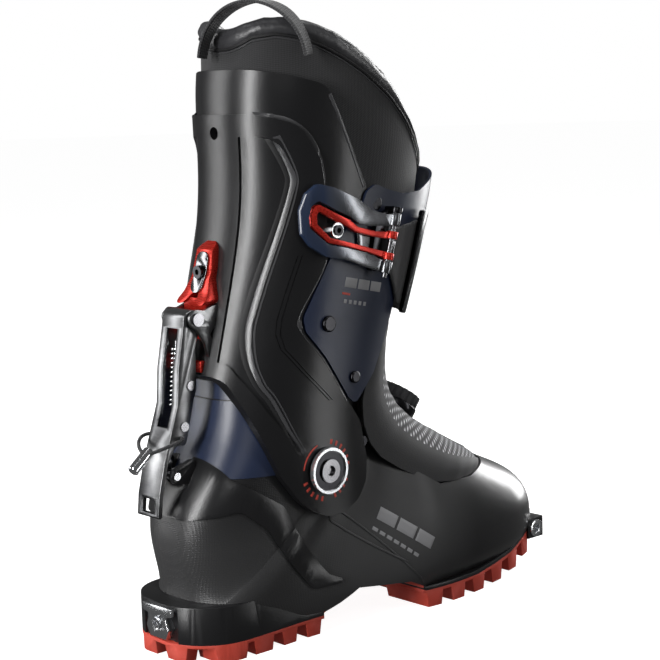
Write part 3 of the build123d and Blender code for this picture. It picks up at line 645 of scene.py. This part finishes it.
LINER_OUT, LINER_IN = -3.8, -12.3
LINER_FOOT = 158.0


def straight_ring(z, offset):
    return lambda angle: leg_point(angle, z, offset)


def seam_ring(share, offset):
    """A ring part of the way from the liner's foot up to its seam."""
    def ring(angle):
        top = level_height(SEAM, angle, offset)
        return leg_point(angle, LINER_FOOT + (top - LINER_FOOT) * share, offset)
    return ring


def make_liner():
    shares = [i / 16 for i in range(17)]
    outside = [seam_ring(share, LINER_OUT) for share in shares]
    inside = [seam_ring(share, LINER_IN) for share in reversed(shares)]
    bm = sleeve(outside + inside)
    bmesh.ops.bridge_loops(bm, edges=[e for e in bm.edges if e.is_boundary])
    liner = link("liner_leg", bm, "liner")
    settle(liner, "cuff", "liner_fabric", "liner_cuff", crease=60)


ANKLE_RINGS = [(116, -14.5), (140, -14.5), (150, -11.0), (160, -6.5), (168, -6.0)]


def make_ankle():
    """The liner's ankle: a soft tube that joins its foot to its leg."""
    bm = sleeve([straight_ring(z, offset) for z, offset in ANKLE_RINGS])
    ankle = link("liner_ankle", bm, "liner")
    applied(ankle, ("SOLIDIFY", {"thickness": 1.5 * MM, "offset": 0.0}))
    settle(ankle, None, "liner_fabric", crease=60)
    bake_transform(ankle)


def make_collar():
    """The padded top edge: a soft roll from the outer seam over the rim and down inside."""
    def ring(t):
        def place(angle):
            low = level_height(SEAM, angle, LINER_OUT)
            high = level_height(RIM, angle, LINER_OUT)
            wrinkle = 0.25 * math.sin(angle * 23) * math.sin(t * math.pi) + 0.18 * math.sin(angle * 41 + 1.3)
            if t <= 0.4:
                share = t / 0.4
                puff = 1.3 * math.sin(share * math.pi) + wrinkle * share
                return leg_point(angle, low + (high - 2.5 - low) * share, LINER_OUT + puff)
            share = (t - 0.4) / 0.6
            turn = min(1.0, share / 0.45) * math.pi
            mid, half = (LINER_OUT + LINER_IN) / 2, (LINER_OUT - LINER_IN) / 2
            if share <= 0.45:
                return leg_point(angle, high - 2.5 + 2.8 * math.sin(turn) + 0.3 * wrinkle, mid + half
                                 * math.cos(turn))
            down = (share - 0.45) / 0.55
            return leg_point(angle, high - 2.5 - 22 * down, LINER_IN - 1.2 * math.sin(down * math.pi))
        return place
    steps = [i / 30 for i in range(31)]
    bm = sleeve([ring(t) for t in steps], 144)
    bmesh.ops.bridge_loops(bm, edges=[e for e in bm.edges if e.is_boundary])
    collar = link("collar_roll", bm, "collar")
    settle(collar, "cuff", "collar_fabric", "liner_collar", crease=80)


def tube(name, points, radius, finish, sides=10, closed=False):
    """A round bead through points, as a mesh."""
    curve = bpy.data.curves.new(name, "CURVE")
    curve.dimensions, curve.bevel_depth, curve.use_fill_caps = "3D", radius, True
    curve.bevel_resolution = max(1, sides // 4)
    spline = curve.splines.new("POLY")
    spline.points.add(len(points) - 1)
    for target, point in zip(spline.points, points):
        target.co = (*point, 1.0)
    spline.use_cyclic_u = closed
    holder = bpy.data.objects.new(name, curve)
    bpy.context.scene.collection.objects.link(holder)
    bpy.context.view_layer.update()
    mesh = bpy.data.meshes.new_from_object(holder)
    bpy.data.objects.remove(holder)
    piece = bpy.data.objects.new(name, mesh)
    bpy.context.scene.collection.objects.link(piece)
    mesh.materials.clear()
    mesh.materials.append(M[finish])
    return piece


def make_piping():
    """The dark seam under the collar and the pale piping below it."""
    for name, drop, out, radius, finish in (("collar_seam", 0.4, 0.25, 0.9, "seam"),
                                            ("collar_piping", 2.2, 0.15, 0.45, "edge")):
        line = []
        for k in range(96):
            angle = 2 * math.pi * k / 96 - math.pi
            line.append(leg_point(angle, level_height(SEAM, angle, LINER_OUT) - drop, LINER_OUT + out))
        settle(tube(name, line, radius * MM, finish, closed=True), "cuff", "collar_fabric")


make_liner()
make_ankle()
make_collar()
make_piping()


# ---------------------------------------------------------------- soft copies of the hidden soft parts
def softened(node, name, finish, voxel=2.5, smooth=4):
    """A soft solid with its corners rounded by remeshing and smoothing."""
    piece = merged_copy(node, name, finish)
    applied(piece, ("REMESH", {"mode": "VOXEL", "voxel_size": voxel * MM}),
            ("SMOOTH", {"factor": 0.5, "iterations": smooth}))
    settle(piece, BODY_OF[node], SLOT_OF[node], node, crease=80)
    return piece


softened("liner_foot", "liner_foot_soft", "lining", 2.0, 3)
softened("footbed", "footbed_soft", "lining", 1.5, 2)


# ---------------------------------------------------------------- edge bands on the shell and cuff
def band(name, nodes, line, side, inner, outer, body, slot_name, finish="edge", lift=0.12, thick=0.5):
    """A narrow bevelled strip along an edge, with its borders on the surface on either side."""
    flat = [Vector((p.x, p.y, 0)) for p in smooth_line([(x, z, 0) for x, z in line], 5)]
    rows = []
    for i, point in enumerate(flat):
        ahead = flat[min(i + 1, len(flat) - 1)] - flat[max(i - 1, 0)]
        normal = Vector((-ahead.y, ahead.x, 0)).normalized()
        row = []
        for reach in (inner, outer):
            spot, _ = on_side(nodes, point.x + normal.x * reach, point.y + normal.y * reach, side, lift * MM)
            if spot is None:
                break
            row.append(spot)
        if len(row) == 2 and (row[0] - row[1]).length < 0.012:
            rows.append([row[0], (row[0] + row[1]) / 2, row[1]])
    if len(rows) < 3:
        return None
    piece = ribbon(name, rows, finish, thick * MM)
    return settle(piece, body, slot_name)


CUFF_SKIN = ("cuff",)
UPPER_EDGE = [(25, 319.5), (40, 315), (54, 309), (65.6, 285), (75, 264), (80, 253)]
LAYER_EDGE = [(20, 295), (34, 291), (45, 280), (50.5, 262), (51, 240), (51, 214), (33.5, 185), (34, 176),
              (47.6, 159), (63.7, 134), (74, 120.6), (79, 100)]
RECESS_FRONT = [(27, 283), (34, 264), (34, 254), (27.3, 232), (16.5, 203), (9.3, 182), (7.4, 171), (7.4, 160),
                (10, 149), (14.7, 141), (22.7, 123), (30, 109)]
SHELL_RIDGE = [(66, 90), (60, 80), (53, 68), (60, 61), (80, 47), (104, 32.5)]
SHELL_SEAM = [(50, 73), (56, 71), (64, 67.5), (90, 44), (118, 17)]
# Layer, recess and upper edge bands carry painted highlight; the recess shadow bands are painted shadow.
for side, tag in ((-1, "lateral"), (1, "medial")):
    band("layer_edge_" + tag, CUFF_SKIN, LAYER_EDGE, side, -1.0, 1.3, "cuff", "cuff_black")
    band("recess_edge_" + tag, CUFF_SKIN, RECESS_FRONT, side, -1.4, 1.6, "cuff", "cuff_black")
    band("upper_edge_" + tag, CUFF_SKIN, UPPER_EDGE, side, -2.2, -0.4, "cuff", "cuff_black")
    band("recess_shadow_" + tag, CUFF_SKIN, RECESS_FRONT, side, -3.6, -1.5, "cuff", "cuff_black", "seam",
         0.05, thick=0.2)
    band("shell_ridge_" + tag, ("lower_shell",), SHELL_RIDGE, side, -0.7, 0.7, "root", "shell_black", "shell",
         0.15, thick=0.9)
    band("shell_seam_" + tag, ("lower_shell",), SHELL_SEAM, side, -0.6, 0.6, "root", "shell_black", "shell",
         0.15, thick=0.8)

# ---------------------------------------------------------------- printed marks
TONGUE = ("cuff_tongue",)
SHELL = ("lower_shell",)


def mark(name, nodes, corners, side, body, slot_name, finish="mark", lift=0.10, thick=0.12):
    """A thin printed patch on a surface, between four corners given as x, z, in order."""
    a, b, c, d = (Vector((x, z, 0)) for x, z in corners)
    rows = []
    for i in range(9):
        t = i / 8
        rows.append([])
        for j in range(4):
            u = j / 3
            spot = (a * (1 - t) + b * t) * (1 - u) + (d * (1 - t) + c * t) * u
            point, _ = on_side(nodes, spot.x, spot.y, side, lift * MM)
            if point is None:
                return None
            rows[-1].append(point)
    return settle(ribbon(name, rows, finish, thick * MM), body, slot_name)


def word_bar(name, nodes, start, end, height, pieces, gap, side, body, slot_name, finish="mark"):
    """Plain bars in a row, where the real boot carries lettering."""
    start, end = Vector((*start, 0)), Vector((*end, 0))
    along = (end - start)
    rise = Vector((-along.y, along.x, 0)).normalized() * height
    for k in range(pieces):
        a = start + along * ((k + gap / 2) / pieces)
        b = start + along * ((k + 1 - gap / 2) / pieces)
        corners = [(a.x, a.y), (b.x, b.y), (b.x + rise.x, b.y + rise.y), (a.x + rise.x, a.y + rise.y)]
        mark(f"{name}_{k}", nodes, corners, side, body, slot_name, finish)


word_bar("forefoot_bar", SHELL, (84, 62), (122, 36.5), 7.5, 3, 0.12, -1, "root", "shell_black")
word_bar("forefoot_line", SHELL, (80, 56.5), (112, 33.5), 2.0, 7, 0.3, -1, "root", "shell_black")
word_bar("panel_bar", TONGUE, (62, 198.5), (92, 192), 5.5, 3, 0.12, -1, "cuff", "navy_plastic")
word_bar("panel_tick", TONGUE, (60.5, 194.5), (67, 193), 1.2, 1, 0.1, -1, "cuff", "navy_plastic", "red_mark")
word_bar("panel_line", TONGUE, (61, 189.5), (80, 185.5), 2.2, 5, 0.45, -1, "cuff", "navy_plastic")

mark("catch_plate", ("cuff_tongue", "power_strap"), [(70, 229.5), (101, 220.5), (98.5, 213), (71.5, 219)], -1,
     "cuff",
             "rivet_black", "bolt", 1.2, 1.4)

PIVOT_X, PIVOT_Z = 45.0, 97.5


def ring_mark(name, low, high, inner, outer, side):
    """An arc printed round the cuff's hinge, between two angles in degrees."""
    rows = []
    count = max(2, int((high - low) / 4) + 1)
    for i in range(count + 1):
        angle = math.radians(low + (high - low) * i / count)
        row = []
        for radius in (inner, (inner + outer) / 2, outer):
            point, _ = on_side(CUFF_SKIN, PIVOT_X + radius * math.cos(angle), PIVOT_Z + radius
                               * math.sin(angle), side, 0.1 * MM)
            if point is None:
                return
            row.append(point)
        rows.append(row)
    settle(ribbon(name, rows, "red_mark", 0.12 * MM), "cuff", "cuff_black")


for side, tag in ((-1, "lateral"), (1, "medial")):
    ring_mark("hinge_arc_" + tag, 112, 172, 15.6, 16.5, side)
    for k, angle in enumerate((-70, -56, -42, -28, 5, 19, 33, 47, 61, 75, 200, 214, 228, 242, 256)):
        ring_mark(f"hinge_tick_{tag}_{k}", angle - 2.6, angle + 2.6, 14.6, 17.4, side)


# ---------------------------------------------------------------- lever spring
def make_spring():
    """A steel coil round the rod of the lock lever."""
    top, foot = Vector((-17.5, 0, 179)) * MM, Vector((-22.0, 0, 132)) * MM
    axis = (top - foot).normalized()
    side = Vector((0, 1, 0))
    front = axis.cross(side)
    turns, per_turn, radius, length = 13, 16, 3.4 * MM, 33 * MM
    start = foot + axis * 6.5 * MM
    points = []
    for i in range(turns * per_turn + 1):
        angle = 2 * math.pi * i / per_turn
        points.append(start + axis * (length * i / (turns * per_turn))
                      + (side * math.cos(angle) + front * math.sin(angle)) * radius)
    settle(tube("spring_coil", points, 0.72 * MM, "chrome", 12), "rear_lever", "chrome_steel", "lever_spring")


make_spring()

# ---------------------------------------------------------------- pull cord
CORD_ROUTE = [(-25.5, -9.7, 122), (-28, -14.5, 122.2), (-33.5, -16.0, 121.6), (-40.5, -12.6, 119.0),
              (-45.6, -8.0, 116.6), (-46.6, -4.9, 115.8), (-46.2, -0.5, 116.3), (-43.6, 6.0, 118.6),
              (-38.8, 11.6, 121.0), (-33, 14.6, 122.2), (-28, 13.8, 122.2), (-25.5, 9.7, 122)]


def make_cord():
    curve = bpy.data.curves.new("pull_cord_loop", "CURVE")
    curve.dimensions, curve.bevel_depth, curve.bevel_resolution, curve.use_fill_caps = "3D", 1.0 * MM, 4, True
    spline = curve.splines.new("NURBS")
    spline.points.add(len(CORD_ROUTE) - 1)
    for target, point in zip(spline.points, CORD_ROUTE):
        target.co = (*(Vector(point) * MM), 1.0)
    spline.order_u, spline.use_endpoint_u, spline.resolution_u = 3, True, 8
    loop = bpy.data.objects.new("pull_cord_loop", curve)
    bpy.context.scene.collection.objects.link(loop)
    curve.materials.append(M["cord"])
    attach(loop, "rear_lever")
    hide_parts("pull_cord")


make_cord()


# ---------------------------------------------------------------- pull loop on the liner
def make_pull_loop():
    """A band of webbing from the liner's rear, over and down to its outer side."""
    foot, side = Vector((11, 3, 322)), Vector((40, -47, 322))
    middle, along = (foot + side) / 2, (side - foot).normalized()
    across = along.cross(Vector((0, 0, 1))).normalized()
    half, height = (side - foot).length / 2 + 1.9, 33.4
    rows = []
    for i in range(41):
        t = math.pi * (0.035 + 0.93 * i / 40)
        spine = middle - along * half * math.cos(t) + Vector((0, 0, height * math.sin(t)))
        outward = -across * 1.4 * math.sin(t) ** 2
        sway = 0.25 * math.sin(2 * t)
        turned = (across * math.cos(sway) + Vector((0, 0, 1)) * math.sin(sway)).normalized()
        rows.append([(spine + outward + turned * 12 * (j / 8 - 0.5)) * MM for j in range(9)])
    flat = ribbon("pull_loop_flat", rows, "webbing", 0)
    bpy.data.objects.remove(flat)
    piece = ribbon("pull_loop_webbing", rows, "webbing", 1.7 * MM)
    settle(piece, "cuff", "webbing", "pull_loop")
    declare_sheet(rows)


make_pull_loop()

# ---------------------------------------------------------------- gaiter, mesh and strap over the instep
# Arches from the forefoot up to the tongue: crown x, z, border x, z, half width, crown fullness
ARCHES = [(199, 75.5, 192, 72.5, 22, 2.6), (190, 82.5, 180, 71.5, 34, 2.5), (180, 88.5, 164, 71.8, 41, 2.4),
          (168, 95.5, 150, 72.2, 45, 2.3), (156, 103, 136, 74, 46, 2.2), (146, 109.5, 120, 79.5, 45, 2.2),
          (137, 116.5, 105, 87.5, 43.5, 2.2), (130, 124, 92.5, 96, 41.5, 2.2),
          (125.5, 133, 85.5, 105.5, 40, 2.2), (123, 142, 82, 117, 39, 2.2), (122, 151, 82, 130, 38.5, 2.2),
          (122, 160, 87, 143, 38, 2.2), (123, 169, 90, 155, 37.5, 2.2), (125, 178, 94, 166, 37, 2.2)]
MESH_HALF = 0.88


def gaiter_rows(low, high, inset, count):
    """Rows across the gaiter between two shares of its half width, -1 and 1 being its borders."""
    rows = []
    table = []
    for k in range(len(ARCHES) - 1):
        for step in range(4):
            t = step / 4
            table.append([a + (b - a) * t for a, b in zip(ARCHES[k], ARCHES[k + 1])])
    table.append(list(ARCHES[-1]))
    for n, (crown_x, crown_z, border_x, border_z, half, power) in enumerate(table):
        row = []
        for i in range(count + 1):
            share = low + (high - low) * i / count
            turn = math.asin(max(-1, min(1, share)))
            rise = abs(math.cos(turn)) ** (2 / power)
            spread = math.copysign(abs(math.sin(turn)) ** (2 / power), share)
            fold = 0.35 * math.sin(n * 0.9 + 5 * share) * math.sin(n * 0.35) * (1 - abs(share) ** 3)
            x = border_x + (crown_x - border_x) * rise
            z = border_z + (crown_z - border_z) * rise
            row.append(Vector((x + fold - inset * 0.6, half * spread, z + fold - inset * 0.8)) * MM)
        rows.append(row)
    return rows


def gaiter_part(name, low, high, finish, slot_name, inset, thick, count, *replaced):
    rows = gaiter_rows(low, high, inset, count)
    piece = ribbon(name, rows, finish, 0)
    applied(piece, ("SUBSURF", {"levels": 1, "render_levels": 1}))
    applied(piece, ("SOLIDIFY", {"thickness": thick * MM, "offset": 0.0}))
    settle(piece, None, slot_name, *replaced, crease=50)
    declare_sheet(rows)
    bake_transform(piece)
    return piece


gaiter_part("gaiter_panel_lateral", -1.0, -MESH_HALF, "softshell", "gaiter_fabric", 0.0, 1.3, 10,
            "instep_gaiter")
gaiter_part("gaiter_panel_medial", MESH_HALF, 1.0, "softshell", "gaiter_fabric", 0.0, 1.3, 10)
gaiter_part("gaiter_mesh_panel", -MESH_HALF - 0.03, MESH_HALF + 0.03, "mesh", "mesh_fabric", 0.9, 1.0, 14,
            "gaiter_mesh")
softened("instep_strap", "instep_strap_soft", "webbing", 0.9, 2)
softened("power_strap", "power_strap_soft", "webbing", 1.0, 3)


# ---------------------------------------------------------------- rear panel under the lock lever
def patch_of(node, name, outline, finish, body, slot_name):
    """The outer skin of a node inside a convex outline of x, z points, as a thin panel lying on it."""
    bm = bmesh.new()
    bm.from_mesh(frame["nodes"][node].data)
    bmesh.ops.remove_doubles(bm, verts=bm.verts, dist=0.00002)
    middle = sum((Vector((x, 0, z)) for x, z in outline), Vector()) / len(outline) * MM
    for (x0, z0), (x1, z1) in zip(outline, outline[1:] + outline[:1]):
        start = Vector((x0, 0, z0)) * MM
        normal = Vector((z1 - z0, 0, x0 - x1)).normalized()
        if (middle - start).dot(normal) > 0:
            normal = -normal
        bmesh.ops.bisect_plane(bm, geom=bm.verts[:] + bm.edges[:] + bm.faces[:], plane_co=start,
                               plane_no=normal, clear_outer=True)
    axis = Vector((middle.x + 0.045, 0, 0))
    inner = [f for f in bm.faces if Vector((f.calc_center_median().x - axis.x, f.calc_center_median().y,
                                            0)).dot(f.normal) < 0
             or abs(f.normal.z) > 0.85]
    bmesh.ops.delete(bm, geom=inner, context="FACES")
    bmesh.ops.delete(bm, geom=[v for v in bm.verts if not v.link_faces], context="VERTS")
    for vert in bm.verts:
        vert.co += vert.normal * 0.25 * MM
    piece = link(name, bm, finish, recalc=False)
    applied(piece, ("SOLIDIFY", {"thickness": 0.5 * MM, "offset": 1.0}))
    return settle(piece, body, slot_name)


patch_of("lower_shell", "rear_navy_panel", [(-40, 100), (-20, 99.5), (-8, 96.5), (8, 92), (18, 100),
                                            (10, 139.5), (-40, 139.5)], "navy", "root",
         "navy_plastic")
